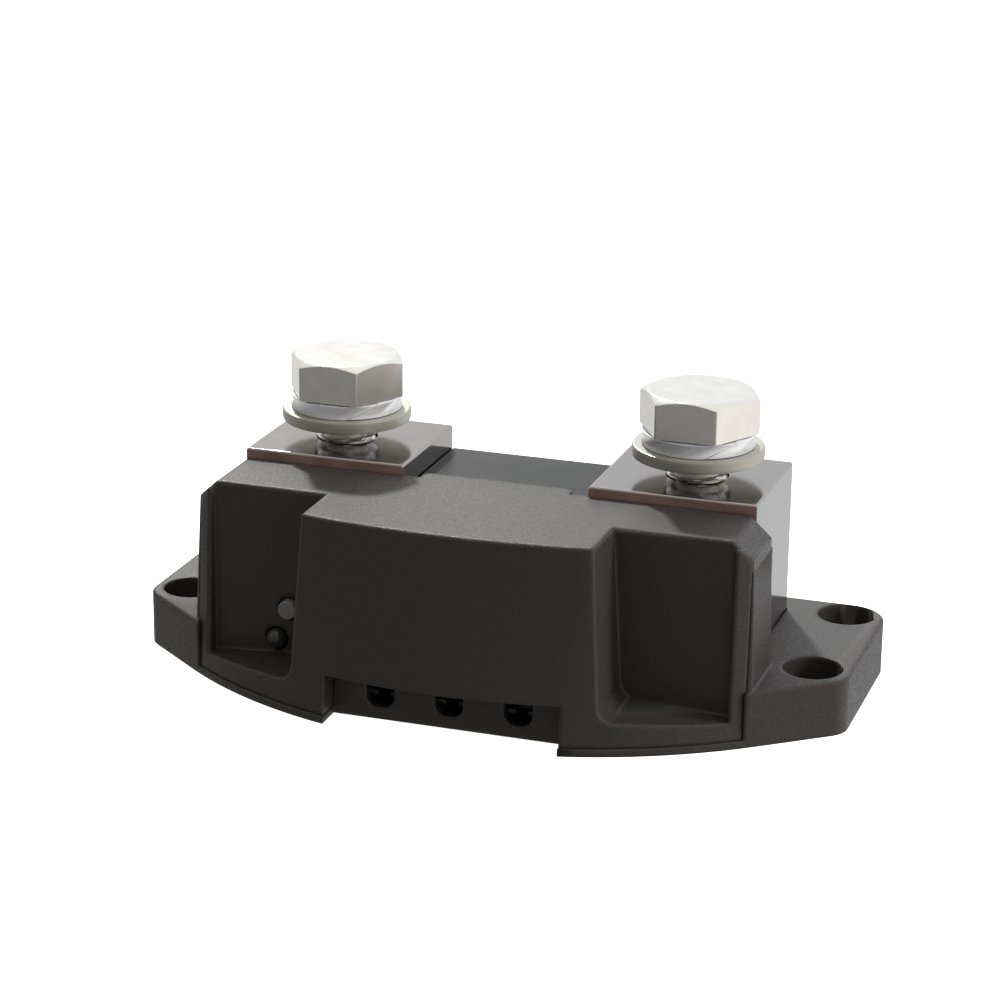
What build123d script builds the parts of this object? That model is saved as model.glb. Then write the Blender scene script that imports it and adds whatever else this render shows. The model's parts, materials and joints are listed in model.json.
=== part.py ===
"""Battery monitor shunt, built as separate pieces.

Millimetres. X runs along the row of terminals, Z is up, -Y faces the curved front with
the cable slots. Z = 0 is the mounting face. One STEP file is written per piece.
"""
import os
from math import cos, pi, radians, sin, sqrt

from build123d import *

os.makedirs("parts", exist_ok=True)

# overall outline of the base
BASE_HALF_LENGTH = 58.4
BASE_BACK_Y = 29.5
BASE_FRONT_Y = -29.5
FRONT_RADIUS = 74.3
EAR_HEIGHT = 8.9
EAR_CORNER_RADIUS = 6.2
EAR_FRONT_Y = -3.6
EAR_FRONT_RADIUS = 4.5
ARC_END_X = 46.6
FLOOR = 1.2
UNDER_TERMINAL = 3.0

# mounting holes
HOLE_X = 52.2
HOLE_Y_CENTRE = 12.14
HOLE_Y_SPACING = 24.8
HOLE_RADIUS = 2.75
COUNTERBORE_RADIUS = 4.75
COUNTERBORE_DEPTH = 5.4

# terminal blocks and bolts
TERM_INNER_X = 15.35
TERM_OUTER_X = 42.4
TERM_FRONT_Y = 0.27
TERM_BACK_Y = 23.9
TERM_TOP = 34.0
BOLT_X = 29.65
BOLT_Y = 12.5
THREAD_RADIUS = 5.0
SHANK_RADIUS = 4.94
BOLT_LENGTH = 25.0
HEX_FLATS = 17.0
HEAD_HEIGHT = 6.4
LUG_GAP = 3.09
FLAT_WASHER_RADIUS = 10.5
FLAT_WASHER_THICKNESS = 2.0
SPRING_WASHER_RADIUS = 9.05
SPRING_WASHER_THICKNESS = 2.4
SPRING_SLIT_TURN = 27.5

# front cover
COVER_TOP = 32.4
COVER_BOTTOM = 1.25
SEAM_X = 44.95
SHOULDER_SEAM_Z = 27.7
SIDE_X_LOW = 46.1
SIDE_X_TOP = 44.95
COVER_INSET = 0.3
COVER_LEAN = 2.15
COVER_REAR_Y = 0.15
SHOULDER_REAR_Y = -0.9
CHAMFER_START_X = 41.9
CHAMFER_END_Z = 29.55
POCKET_BACK_Y = -12.75
POCKET_OUTER_X = 42.3
BLOCK_HALF_LOW = 25.2
BLOCK_HALF_TOP = 23.3
POCKET_FOOT_RADIUS = 2.6
BLOCK_TOP_RADIUS = 125.0
BLOCK_TOP_Y = -25.35
BLOCK_CORNER_Y = -23.3
EDGE_RADIUS = 0.5
WALL = 2.0
TONGUE_HALF = 12.4
TONGUE_REAR_Y = 2.65

# cable notch and slots
NOTCH_CENTRE_X = 0.4
NOTCH_HALF = 18.95
NOTCH_TOP = 7.8
NOTCH_WALL_Y = -22.25
SLOT_WIDTH = 4.7
SLOT_PITCH = 11.2
SLOT_BOTTOM = 2.0
SLOT_WALL_TOP = 9.5

# bridge lid between the terminals
LID_TOP = 30.06
LID_THICKNESS = 1.8
LID_HALF = 15.25

# electronics
BOARD_BACK_Y = -4.0
BOARD_THICKNESS = 1.6
BOARD_HALF = 34.5
BOARD_LOW = 4.0
BOARD_HIGH = 28.5
SENSE_X = 22.6
SENSE_Z_LOW = 9.0
SENSE_Z_HIGH = 25.5
BUTTON_X = -29.8
FRONT_HOLE_RADIUS = 2.0
BUTTON_Z = 12.5
LED_X = -32.0
LED_Z = 7.2
CONNECTOR_BOARD_Z = 10.0
COVER_SCREWS = [(-38.8, -7.4), (38.8, -7.4), (-19.8, -17.6), (19.8, -17.6)]
TERMINAL_SCREWS = [(-37.5, 12.5), (-24.4, 12.5), (24.4, 12.5), (37.5, 12.5)]

# moves the whole assembly so that the origin is under the middle of its box
SHIFT_Y = -0.55

BOARD_FRONT_Y = BOARD_BACK_Y - BOARD_THICKNESS
WASHER_LOW = TERM_TOP + LUG_GAP
SPRING_LOW = WASHER_LOW + FLAT_WASHER_THICKNESS
HEAD_LOW = SPRING_LOW + SPRING_WASHER_THICKNESS


def box(x0, x1, y0, y1, z0, z1):
    """Box between two opposite corners."""
    centre = Pos((x0 + x1) / 2, (y0 + y1) / 2, (z0 + z1) / 2)
    return centre * Box(x1 - x0, y1 - y0, z1 - z0)


def post(x, y, z0, z1, radius):
    """Upright cylinder."""
    return Pos(x, y, (z0 + z1) / 2) * Cylinder(radius, z1 - z0)


def rod(x, z, y0, y1, radius):
    """Cylinder along Y."""
    return Pos(x, (y0 + y1) / 2, z) * Rot(90, 0, 0) * Cylinder(radius, y1 - y0)


def arc_y(x, apex, radius):
    """Y of the curved front at x."""
    return apex + radius - sqrt(radius * radius - x * x)


def arc_section(half, apex, radius, rear, z):
    """Flat face with a bowed front edge at height z."""
    end_y = arc_y(half, apex, radius)
    front = ThreePointArc((-half, end_y), (0, apex), (half, end_y))
    sides = Polyline((half, end_y), (half, rear), (-half, rear), (-half, end_y))
    return Pos(0, 0, z) * make_face(Curve() + [front, sides])


def prism_y(points, y0, y1):
    """Outline in X and Z carried along Y from y0 to y1."""
    plane = Plane(origin=(0, y0, 0), x_dir=(1, 0, 0), z_dir=(0, -1, 0))
    outline = plane * make_face(Polyline(*points, close=True))
    return extrude(outline, amount=-(y1 - y0))


def base_outline():
    """Plan outline of the base with its curved front and two ears."""
    end_y = arc_y(ARC_END_X, BASE_FRONT_Y, FRONT_RADIUS)
    r = EAR_CORNER_RADIUS
    x1 = BASE_HALF_LENGTH
    y1 = BASE_BACK_Y
    k = r * (1 - cos(pi / 4))
    front = ThreePointArc((-ARC_END_X, end_y), (0, BASE_FRONT_Y), (ARC_END_X, end_y))
    right = Polyline((ARC_END_X, end_y), (x1, EAR_FRONT_Y), (x1, y1 - r))
    right_corner = ThreePointArc((x1, y1 - r), (x1 - k, y1 - k), (x1 - r, y1))
    back = Line((x1 - r, y1), (r - x1, y1))
    left_corner = ThreePointArc((r - x1, y1), (k - x1, y1 - k), (-x1, y1 - r))
    left = Polyline((-x1, y1 - r), (-x1, EAR_FRONT_Y), (-ARC_END_X, end_y))
    outline = make_face(Curve() + [front, right, right_corner, back, left_corner, left])
    corners = [v for v in outline.vertices() if abs(v.Y - EAR_FRONT_Y) < 0.01]
    return fillet(corners, EAR_FRONT_RADIUS)


def front_section(points, rear, z):
    """Flat face at height z whose front edge is a smooth curve through mirrored points."""
    half, end_y = points[-1]
    left = [(-x, y) for x, y in reversed(points[1:])]
    front = Spline(*(left + points))
    sides = Polyline((half, end_y), (half, rear), (-half, rear), (-half, end_y))
    return Pos(0, 0, z) * make_face(Curve() + [front, sides])


def curved_envelope(z0, z1):
    """Curved front and leaning ends shared by the cover and the base's end walls."""
    low_apex = BASE_FRONT_Y + COVER_INSET
    top_apex = low_apex + COVER_LEAN
    low = []
    for share in (0.0, 0.25, 0.5, 0.75, 1.0):
        x = share * SIDE_X_LOW
        low.append((x, arc_y(x, low_apex, FRONT_RADIUS)))
    top = [
        (0.0, BLOCK_TOP_Y),
        (12.0, arc_y(12.0, BLOCK_TOP_Y, BLOCK_TOP_RADIUS)),
        (22.5, BLOCK_CORNER_Y),
        (33.5, arc_y(33.5, top_apex, FRONT_RADIUS)),
        (SIDE_X_TOP, arc_y(SIDE_X_TOP, top_apex, FRONT_RADIUS)),
    ]
    low_face = front_section(low, SHOULDER_REAR_Y, COVER_BOTTOM)
    top_face = front_section(top, SHOULDER_REAR_Y, COVER_TOP)
    return loft([low_face, top_face]) & box(-70, 70, -40, 10, z0, z1)


def ear_relief(side):
    """Hollows under one ear, leaving walls, a rib and two screw bosses."""
    x0 = 46.4
    x1 = BASE_HALF_LENGTH - 2.2
    relief = box(x0, x1, -1.0, 26.0, -1, 6.4)
    relief -= box(x0, x1, 11.1, 13.1, -1, 7)
    for dy in (-0.5, 0.5):
        relief -= post(HOLE_X, HOLE_Y_CENTRE + dy * HOLE_Y_SPACING, -1, 7, 6.2)
    if side < 0:
        relief = mirror(relief, about=Plane.YZ)
    return relief


def base_housing():
    """Bottom plate, ears, end walls, rear wall and slotted cable wall."""
    body = extrude(base_outline(), amount=EAR_HEIGHT)
    body = fillet(body.edges().group_by(Axis.Z)[-1], 0.45)
    bay_rear = COVER_REAR_Y + 0.02
    bay = box(-SEAM_X, SEAM_X, -40, bay_rear, FLOOR, 20)
    body -= bay
    walls = curved_envelope(COVER_BOTTOM, SHOULDER_SEAM_Z - 0.06)
    walls -= box(-SEAM_X, SEAM_X, -45, 10, 0, 40)
    body += walls
    body -= box(-TERM_OUTER_X - 0.1, TERM_OUTER_X + 0.1, bay_rear - 1, TERM_BACK_Y + 0.1, UNDER_TERMINAL, 20)
    lid_bottom = LID_TOP - LID_THICKNESS
    inner = TERM_INNER_X - 0.1
    body += box(-inner, inner, 22.0, TERM_BACK_Y, UNDER_TERMINAL, lid_bottom)
    body += box(-inner, inner, 0.3, 1.9, UNDER_TERMINAL, lid_bottom)
    body += box(-42.1, 42.1, bay_rear - 1.5, bay_rear - 0.1, 0.5, UNDER_TERMINAL)
    for side in (-1, 1):
        body += cheek(side)
    body -= box(NOTCH_CENTRE_X - NOTCH_HALF, NOTCH_CENTRE_X + NOTCH_HALF, -40, NOTCH_WALL_Y, -1, 12)
    body += cable_wall()
    for side in (-1, 1):
        body -= ear_relief(side)
        for dy in (-0.5, 0.5):
            y = HOLE_Y_CENTRE + dy * HOLE_Y_SPACING
            body -= post(side * HOLE_X, y, -1, 10, HOLE_RADIUS)
            body -= post(side * HOLE_X, y, EAR_HEIGHT - COUNTERBORE_DEPTH, 12, COUNTERBORE_RADIUS)
    for x, y in COVER_SCREWS:
        body += post(x, y, FLOOR - 0.1, 2.6, 3.0)
        body -= post(x, y, -1, 5, 1.35)
        body -= post(x, y, -1, 1.7, 2.3)
    for x, y in TERMINAL_SCREWS:
        body -= post(x, y, -1, 5, 2.2)
        body -= post(x, y, -1, 1.9, 4.0)
    return body


def cheek(side):
    """Rib that closes the gap between an end wall and the terminal's front face."""
    top = SHOULDER_SEAM_Z - 0.06
    rear = COVER_REAR_Y - 0.02
    rib = box(40.4, SEAM_X + 0.12, SHOULDER_REAR_Y + 0.05, rear, FLOOR - 0.1, top)
    rib += box(SEAM_X, SEAM_X + 0.12, SHOULDER_REAR_Y - 1.0, rear, FLOOR - 0.1, top)
    rib += box(40.4, 42.1, SHOULDER_REAR_Y + 0.05, rear, FLOOR - 0.1, COVER_TOP - WALL - 0.06)
    rib += box(40.4, 42.1, rear - 0.1, COVER_REAR_Y + 0.1, 0.5, UNDER_TERMINAL)
    if side < 0:
        rib = mirror(rib, about=Plane.YZ)
    return rib


def cable_wall():
    """Upright wall at the back of the cable notch with three open-topped slots."""
    wall = box(
        NOTCH_CENTRE_X - NOTCH_HALF,
        NOTCH_CENTRE_X + NOTCH_HALF,
        NOTCH_WALL_Y,
        NOTCH_WALL_Y + 1.7,
        0,
        SLOT_WALL_TOP,
    )
    half = SLOT_WIDTH / 2
    for i in (-1, 0, 1):
        x = NOTCH_CENTRE_X + i * SLOT_PITCH
        opening = box(x - half, x + half, NOTCH_WALL_Y - 1, NOTCH_WALL_Y + 3, SLOT_BOTTOM, 20)
        lower = opening.edges().filter_by(Axis.Y).sort_by(Axis.Z)[0:2]
        wall -= fillet(lower, 1.9)
    return wall


def pocket(side):
    """Open-topped recess beside the central block, rounded where floor meets block."""
    outline = Polyline(
        (BLOCK_HALF_LOW - 0.2, 5.3),
        (POCKET_OUTER_X + 0.2, 4.2),
        (POCKET_OUTER_X, 45.0),
        (BLOCK_HALF_TOP - 0.7, 45.0),
        close=True,
    )
    face = make_face(outline)
    corner = face.vertices().sort_by(Axis.Y)[0:2].sort_by(Axis.X)[0]
    face = fillet(corner, POCKET_FOOT_RADIUS)
    plane = Plane(origin=(0, -45, 0), x_dir=(1, 0, 0), z_dir=(0, -1, 0))
    cut = extrude(plane * face, amount=-(45 + POCKET_BACK_Y))
    if side < 0:
        cut = mirror(cut, about=Plane.YZ)
    return cut


def central_block(side_margin, front_margin, z_low, z_high):
    """Raised block between the pockets; the margins shrink it for the hollow inside."""
    low = arc_section(
        BLOCK_HALF_LOW - side_margin,
        BASE_FRONT_Y + COVER_INSET + front_margin,
        FRONT_RADIUS - front_margin,
        -10.0,
        COVER_BOTTOM,
    )
    high = arc_section(
        BLOCK_HALF_TOP - side_margin,
        BLOCK_TOP_Y + front_margin,
        BLOCK_TOP_RADIUS - front_margin,
        -10.0,
        COVER_TOP,
    )
    return loft([low, high]) & box(-60, 60, -60, 10, z_low, z_high)


def cover_skin():
    """Outside of the cover with its shoulders, pockets and rounded edges."""
    body = curved_envelope(COVER_BOTTOM, COVER_TOP)
    for side in (-1, 1):
        x0, x1 = sorted((side * SEAM_X - side * 0.06, side * 60))
        body -= box(x0, x1, -60, 20, -1, SHOULDER_SEAM_Z)
        slope = (COVER_TOP - CHAMFER_END_Z) / (SIDE_X_TOP + 0.1 - CHAMFER_START_X)
        wedge = [
            (side * CHAMFER_START_X, COVER_TOP),
            (side * 50, COVER_TOP + 6),
            (side * 50, COVER_TOP - (50 - CHAMFER_START_X) * slope),
        ]
        body -= prism_y(wedge, -60, 20)
        body -= pocket(side)
    return fillet(rounded_edges(body), EDGE_RADIUS)


def rounded_edges(body):
    """Outer edges of the skin, without its seams, rear edges, bottom and inner corners."""
    chosen = []
    for edge in body.edges():
        low = edge.bounding_box().min
        high = edge.bounding_box().max
        seam = low.Z < SHOULDER_SEAM_Z + 0.1 and abs(abs(low.X) - SEAM_X) < 0.4
        rear = low.Y > SHOULDER_REAR_Y - 0.1
        bottom = low.Z < COVER_BOTTOM + 0.1
        on_back_wall = low.Y > POCKET_BACK_Y - 0.1 and high.Y < POCKET_BACK_Y + 0.1
        inner_corner = on_back_wall and high.Z - low.Z > 2 or on_back_wall and high.Z < 8.0
        floor_line = high.Y > POCKET_BACK_Y - 0.1 and high.Z < 8.0
        if seam or rear or bottom or inner_corner or floor_line:
            continue
        chosen.append(edge)
    return chosen


def front_cover():
    """Curved front moulding: shoulders, two pockets, central block and tongue."""
    body = cover_skin()
    half = CHAMFER_START_X
    body += box(-half, half, SHOULDER_REAR_Y - 0.5, COVER_REAR_Y, COVER_TOP - 4, COVER_TOP)
    body -= central_block(WALL, WALL, COVER_BOTTOM - 1, COVER_TOP - WALL)
    body -= box(-42.2, 42.2, POCKET_BACK_Y + 1.8, 5, -1, COVER_TOP - WALL)
    body += cover_tongue()
    body -= under_floor(1)
    body -= under_floor(-1)
    body += notch_jambs()
    half = NOTCH_HALF + 0.1
    body -= box(NOTCH_CENTRE_X - half, NOTCH_CENTRE_X + half, -60, -10, -1, NOTCH_TOP)
    for x, y in COVER_SCREWS:
        body += post(x, y, 2.65, COVER_TOP - 1, 2.9)
        body -= post(x, y, 1, 14, 1.05)
    body -= rod(BUTTON_X, BUTTON_Z, POCKET_BACK_Y - 1, POCKET_BACK_Y + 3, FRONT_HOLE_RADIUS)
    body -= rod(LED_X, LED_Z, POCKET_BACK_Y - 1, POCKET_BACK_Y + 3, FRONT_HOLE_RADIUS)
    return body


def notch_jambs():
    """Ribs behind both ends of the cable notch that reach back to the slotted wall."""
    outer = NOTCH_HALF + 1.7
    jambs = box(-outer, outer, -25.4, NOTCH_WALL_Y + 1.5, COVER_BOTTOM, NOTCH_TOP + 1)
    jambs -= box(-NOTCH_HALF, NOTCH_HALF, -26, NOTCH_WALL_Y + 2, 0, NOTCH_TOP + 2)
    return Pos(NOTCH_CENTRE_X, 0, 0) * jambs


def under_floor(side):
    """Hollow under a pocket floor so the moulding keeps an even wall."""
    space = box(27.0, 41.0, -21.0, POCKET_BACK_Y - 0.4, -1, 2.6)
    envelope = arc_section(45.0, BASE_FRONT_Y + COVER_INSET + 3.0, FRONT_RADIUS - 3.0, 0, -1)
    space = space & extrude(envelope, amount=5)
    if side < 0:
        space = mirror(space, about=Plane.YZ)
    return space


def cover_tongue():
    """Lip that reaches back between the terminals over the bridge lid."""
    tongue = box(-TONGUE_HALF, TONGUE_HALF, COVER_REAR_Y - 0.5, TONGUE_REAR_Y, LID_TOP + 0.04, COVER_TOP)
    corners = tongue.edges().filter_by(Axis.Z).sort_by(Axis.Y)[2:4]
    return fillet(corners, 1.4)


def bridge_lid():
    """Plate closing the resistor chamber, with two ribs that grip its walls."""
    low = LID_TOP - LID_THICKNESS + 0.02
    lid = box(-LID_HALF, LID_HALF, TERM_FRONT_Y + 0.03, TERM_BACK_Y, low, LID_TOP)
    lid += box(-12, 12, 20.7, 21.95, low - 2.2, low + 0.1)
    lid += box(-12, 12, 1.95, 3.2, low - 2.2, low + 0.1)
    return lid


def terminal(side):
    """Solid block with the bolt thread, strip slots, sense and fixing threads."""
    x0 = TERM_INNER_X
    x1 = TERM_OUTER_X
    body = box(x0, x1, TERM_FRONT_Y, TERM_BACK_Y, UNDER_TERMINAL + 0.02, TERM_TOP)
    body = chamfer(body.edges().group_by(Axis.Z)[-1], 0.25)
    body -= post(BOLT_X, BOLT_Y, 11.5, 50, THREAD_RADIUS)
    for i in range(4):
        body -= box(x0 - 1, x0 + 5.0, 2.4, 21.6, strip_z(i), strip_z(i) + 1.65)
    for z in (SENSE_Z_LOW, SENSE_Z_HIGH):
        body -= rod(SENSE_X, z, TERM_FRONT_Y - 1, TERM_FRONT_Y + 5.5, 1.5)
    for x, y in TERMINAL_SCREWS[2:]:
        body -= post(x, y, 0, 9.5, 2.0)
    if side < 0:
        body = mirror(body, about=Plane.YZ)
    return body


def strip_z(index):
    """Underside of one resistor strip."""
    return 8.6 + 4.6 * index


def resistor_strip(index):
    """Manganin strip brazed into the slots of both blocks."""
    end = TERM_INNER_X + 4.95
    return box(-end, end, 2.45, 21.55, strip_z(index) + 0.02, strip_z(index) + 1.63)


def bolt(side):
    """Hexagon head bolt, M10."""
    corner = HEX_FLATS / sqrt(3)
    head = extrude(RegularPolygon(corner, 6), amount=HEAD_HEIGHT)
    cone = Cone(corner + 11.15, corner - 1.35, 7.0, align=(Align.CENTER, Align.CENTER, Align.MAX))
    head = head & (Pos(0, 0, HEAD_HEIGHT) * cone)
    shank = Pos(0, 0, -BOLT_LENGTH / 2 + 0.5) * Cylinder(SHANK_RADIUS, BOLT_LENGTH + 1)
    shank = chamfer(shank.edges().filter_by(GeomType.CIRCLE).sort_by(Axis.Z)[0], 0.8)
    return Pos(side * BOLT_X, BOLT_Y, HEAD_LOW) * (head + shank)


def ring(outer, inner, height):
    """Plain ring standing on its lower face."""
    return Pos(0, 0, height / 2) * (Cylinder(outer, height) - Cylinder(inner, height + 1))


def flat_washer(side):
    """Plain washer, 21 mm across."""
    return Pos(side * BOLT_X, BOLT_Y, WASHER_LOW + 0.01) * ring(
        FLAT_WASHER_RADIUS, 5.25, FLAT_WASHER_THICKNESS - 0.02
    )


def spring_washer(side):
    """Split spring washer; the slanting cut faces the front."""
    body = ring(SPRING_WASHER_RADIUS, 5.1, SPRING_WASHER_THICKNESS - 0.02)
    slit = Pos(1.2, -7.2, SPRING_WASHER_THICKNESS / 2) * Rot(0, 35, 0) * Box(0.5, 6.0, 8.0)
    slit = Rot(0, 0, SPRING_SLIT_TURN) * slit
    return Pos(side * BOLT_X, BOLT_Y, SPRING_LOW + 0.01) * (body - slit)


def terminal_screws():
    """Four M4 screws that hold the blocks down from below."""
    screws = []
    for x, y in TERMINAL_SCREWS:
        head = post(x, y, 0.35, 1.88, 3.6) - box(x - 2.4, x + 2.4, y - 0.4, y + 0.4, 0, 1.1)
        screws.append(head + post(x, y, 1.8, 9.0, 1.98))
    return Compound(children=screws)


def cover_screws():
    """Four self-tapping screws into the cover's posts."""
    screws = []
    for x, y in COVER_SCREWS:
        head = post(x, y, 0.3, 1.68, 2.1) - box(x - 1.5, x + 1.5, y - 0.3, y + 0.3, 0, 0.9)
        screws.append(head + post(x, y, 1.6, 10.5, 1.03))
    return Compound(children=screws)


def main_board():
    """Upright circuit board held on the terminals' front faces."""
    board = box(-BOARD_HALF, BOARD_HALF, BOARD_FRONT_Y, BOARD_BACK_Y, BOARD_LOW, BOARD_HIGH)
    for x in (-SENSE_X, SENSE_X):
        for z in (SENSE_Z_LOW, SENSE_Z_HIGH):
            board -= rod(x, z, BOARD_FRONT_Y - 1, BOARD_BACK_Y + 1, 1.6)
    return board


def connector_board():
    """Level board that carries the cable sockets."""
    x = NOTCH_CENTRE_X
    return box(x - 16.0, x + 16.0, -20.3, BOARD_FRONT_Y - 0.05, CONNECTOR_BOARD_Z, CONNECTOR_BOARD_Z + 1.6)


def board_header():
    """Angled pin row joining the two boards."""
    pins = []
    for i in range(8):
        x = NOTCH_CENTRE_X + (i - 3.5) * 2.54
        up = box(x - 0.32, x + 0.32, -8.32, -7.68, CONNECTOR_BOARD_Z + 1.62, 15.0)
        along = box(x - 0.32, x + 0.32, -8.32, BOARD_FRONT_Y - 0.02, 14.36, 15.0)
        pins.append(up + along)
    strip = box(NOTCH_CENTRE_X - 10.2, NOTCH_CENTRE_X + 10.2, -9.2, -6.8, CONNECTOR_BOARD_Z + 1.62, 13.8)
    whole = strip
    for pin in pins:
        whole += pin
    return whole


def sense_spacers():
    """Four brass tubes that space the board from the blocks and pick up the voltage."""
    tubes = []
    for x in (-SENSE_X, SENSE_X):
        for z in (SENSE_Z_LOW, SENSE_Z_HIGH):
            outer = rod(x, z, BOARD_BACK_Y + 0.01, TERM_FRONT_Y - 0.01, 2.75)
            tubes.append(outer - rod(x, z, BOARD_BACK_Y - 1, TERM_FRONT_Y + 1, 1.6))
    return Compound(children=tubes)


def sense_screws():
    """Four M3 screws through the board and spacers into the blocks."""
    screws = []
    for x in (-SENSE_X, SENSE_X):
        for z in (SENSE_Z_LOW, SENSE_Z_HIGH):
            head = rod(x, z, BOARD_FRONT_Y - 2.0, BOARD_FRONT_Y - 0.01, 2.75)
            head -= box(x - 2.0, x + 2.0, BOARD_FRONT_Y - 3, BOARD_FRONT_Y - 1.3, z - 0.35, z + 0.35)
            screws.append(head + rod(x, z, BOARD_FRONT_Y - 0.5, TERM_FRONT_Y + 5.0, 1.48))
    return Compound(children=screws)


def cable_sockets():
    """Three small sockets facing the slots, each with a square mouth."""
    sockets = []
    top = CONNECTOR_BOARD_Z - 0.02
    for i in (-1, 0, 1):
        x = NOTCH_CENTRE_X + i * SLOT_PITCH
        shell = box(x - 3.4, x + 3.4, -20.3, -13.0, 3.0, top)
        shell -= box(x - 2.6, x + 2.6, -21.0, -14.4, 3.9, top - 0.9)
        sockets.append(shell)
    return Compound(children=sockets)


def socket_pins():
    """Two contact pins in each socket."""
    pins = []
    for i in (-1, 0, 1):
        for dx in (-1.0, 1.0):
            x = NOTCH_CENTRE_X + i * SLOT_PITCH + dx
            pins.append(box(x - 0.3, x + 0.3, -18.6, -14.42, 6.1, 6.7))
    return Compound(children=pins)


def tact_switch():
    """Small switch body behind the push button."""
    return box(BUTTON_X - 3, BUTTON_X + 3, -9.1, BOARD_FRONT_Y - 0.01, BUTTON_Z - 3, BUTTON_Z + 3)


def push_button():
    """Plunger with a flat end and a retaining collar behind the cover wall."""
    stem = rod(BUTTON_X, BUTTON_Z, -13.95, -9.5, 1.55)
    collar = rod(BUTTON_X, BUTTON_Z, -10.9, -10.1, 2.3)
    return stem + collar


def led_lens():
    """Domed indicator lens with its flange."""
    stem = rod(LED_X, LED_Z, -12.7, -8.6, 1.65)
    dome = Pos(LED_X, -12.7, LED_Z) * Sphere(1.65)
    flange = rod(LED_X, LED_Z, -9.6, -8.6, 1.95)
    return stem + dome + flange


def led_leads():
    """Two wires from the lens to the board."""
    low = LED_Z - 0.25
    first = box(LED_X - 1.52, LED_X - 1.02, -8.58, BOARD_FRONT_Y - 0.01, low, low + 0.5)
    second = box(LED_X + 1.02, LED_X + 1.52, -8.58, BOARD_FRONT_Y - 0.01, low, low + 0.5)
    return Compound(children=[first, second])


def board_chips():
    """Controller and measuring chips on the front of the board."""
    face = BOARD_FRONT_Y - 0.01
    chips = [
        box(-4.5, 4.5, face - 1.4, face, 17.5, 26.5),
        box(10.0, 15.0, face - 1.3, face, 19.0, 25.0),
        box(-14.5, -9.5, face - 1.3, face, 19.0, 23.0),
    ]
    return Compound(children=chips)


def board_capacitors():
    """Two power capacitors and a coil on the front of the board."""
    face = BOARD_FRONT_Y - 0.01
    parts = [
        box(25.5, 31.5, face - 3.0, face, 18.5, 24.5),
        rod(28.5, 11.0, face - 4.2, face, 3.0),
        rod(-28.5, 22.0, face - 4.2, face, 3.0),
    ]
    return Compound(children=parts)


PIECES = {
    "base_housing": base_housing(),
    "front_cover": front_cover(),
    "bridge_lid": bridge_lid(),
    "terminal_left": terminal(-1),
    "terminal_right": terminal(1),
    "resistor_strip_1": resistor_strip(0),
    "resistor_strip_2": resistor_strip(1),
    "resistor_strip_3": resistor_strip(2),
    "resistor_strip_4": resistor_strip(3),
    "bolt_left": bolt(-1),
    "bolt_right": bolt(1),
    "spring_washer_left": spring_washer(-1),
    "spring_washer_right": spring_washer(1),
    "flat_washer_left": flat_washer(-1),
    "flat_washer_right": flat_washer(1),
    "terminal_screws": terminal_screws(),
    "cover_screws": cover_screws(),
    "main_board": main_board(),
    "connector_board": connector_board(),
    "board_header": board_header(),
    "sense_spacers": sense_spacers(),
    "sense_screws": sense_screws(),
    "cable_sockets": cable_sockets(),
    "socket_pins": socket_pins(),
    "tact_switch": tact_switch(),
    "push_button": push_button(),
    "led_lens": led_lens(),
    "led_leads": led_leads(),
    "board_chips": board_chips(),
    "board_capacitors": board_capacitors(),
}

for name, raw in PIECES.items():
    moved = [Pos(0, SHIFT_Y, 0) * solid for solid in raw.solids()]
    shape = moved[0] if len(moved) == 1 else Compound(children=moved)
    export_step(shape, "parts/" + name + ".step")
    size = shape.bounding_box().size
    print(name, round(size.X, 2), round(size.Y, 2), round(size.Z, 2), "solids", len(shape.solids()))
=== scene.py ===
import json
import math

import bmesh
import bpy
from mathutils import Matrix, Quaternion, Vector

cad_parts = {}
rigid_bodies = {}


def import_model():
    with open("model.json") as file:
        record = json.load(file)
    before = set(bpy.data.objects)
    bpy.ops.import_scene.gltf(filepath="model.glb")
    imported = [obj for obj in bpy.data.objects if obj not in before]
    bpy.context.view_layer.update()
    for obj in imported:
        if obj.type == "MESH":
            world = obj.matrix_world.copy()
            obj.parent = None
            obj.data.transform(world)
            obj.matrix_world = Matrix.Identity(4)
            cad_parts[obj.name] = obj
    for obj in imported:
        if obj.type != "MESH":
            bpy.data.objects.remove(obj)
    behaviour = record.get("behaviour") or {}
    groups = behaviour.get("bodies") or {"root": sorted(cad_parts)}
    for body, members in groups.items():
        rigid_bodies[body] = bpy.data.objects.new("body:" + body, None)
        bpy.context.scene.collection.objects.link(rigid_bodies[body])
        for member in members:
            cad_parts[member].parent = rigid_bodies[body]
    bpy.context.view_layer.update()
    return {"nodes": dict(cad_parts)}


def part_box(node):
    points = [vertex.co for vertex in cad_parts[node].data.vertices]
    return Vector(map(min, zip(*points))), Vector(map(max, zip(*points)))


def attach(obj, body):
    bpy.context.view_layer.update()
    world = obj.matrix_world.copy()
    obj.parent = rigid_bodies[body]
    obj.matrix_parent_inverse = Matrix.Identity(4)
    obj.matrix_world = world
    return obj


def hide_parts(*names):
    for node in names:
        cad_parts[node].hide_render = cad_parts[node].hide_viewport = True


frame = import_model()

# ---------------------------------------------------------------------------------------------
# Base housing. One injection-moulded tray of black glass-filled nylon with four counterbored
# ears; everything else drops into it or screws up through its floor. The tool was spark-eroded,
# so every outer face has a fine grit, and the corners carry a painted pale highlight.
# ---------------------------------------------------------------------------------------------
MM = 0.001
NYLON_BLACK = (0.0295, 0.0268, 0.0276)
NYLON_GRIT = 0.26 * MM
SOFT_EDGE = 0.85 * MM
# width of the painted pale highlight along the moulding's corners
HIGHLIGHT_EDGE_WIDTH = 0.35 * MM
SMOOTH_ANGLE = math.radians(32)
FLAT_ANGLE = math.radians(0.3)


def add_piece(name, mesh):
    """Puts a finished mesh in the scene under its own name."""
    piece = bpy.data.objects.new(name, mesh)
    bpy.context.scene.collection.objects.link(piece)
    return piece


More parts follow.
